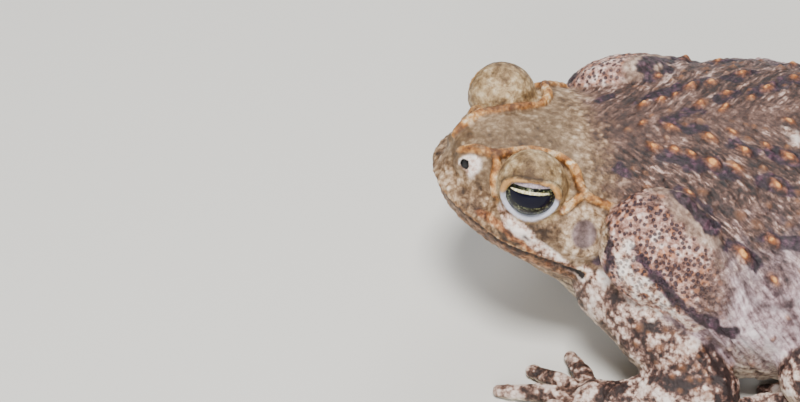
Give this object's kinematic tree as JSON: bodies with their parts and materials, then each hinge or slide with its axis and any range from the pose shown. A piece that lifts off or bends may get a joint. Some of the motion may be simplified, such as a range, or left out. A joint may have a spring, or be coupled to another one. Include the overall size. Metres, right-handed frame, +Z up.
{
  "type": "cane toad",
  "caption": "Life-size still model of a sitting cane toad with large parotoid glands, ridged brows, warts, folded hind legs and webbed toes.",
  "frame": {"origin": "on the floor, in the middle of the flat under the belly", "axes": "+Z up, -Y ahead along the toad's body to its snout, +X to its left"},
  "size_m": [0.1212, 0.1302, 0.0558],
  "materials": {
    "head_skin": "dry, finely grained olive-tan skin with orange-tan ridges",
    "back_skin": "dry warty brown skin with dark blotches and pale pinkish mottling",
    "gland_skin": "pinkish tan skin with dark pores",
    "limb_skin": "wrinkled brown skin with dark spots",
    "eye": "wet gloss, a black iris with gold flecks"
  },
  "bodies": {
    "root": {"head": "head_skin", "torso": "back_skin", "eye_left": "eye", "eye_right": "eye", "parotoid_left": "gland_skin", "parotoid_right": "gland_skin", "upper_arm_left": "limb_skin", "upper_arm_right": "limb_skin", "forearm_left": "limb_skin", "forearm_right": "limb_skin", "hand_left": "limb_skin", "hand_right": "limb_skin", "thigh_left": "limb_skin", "thigh_right": "limb_skin", "shank_left": "limb_skin", "shank_right": "limb_skin", "foot_left": "limb_skin", "foot_right": "limb_skin"}
  },
  "joints": []
}
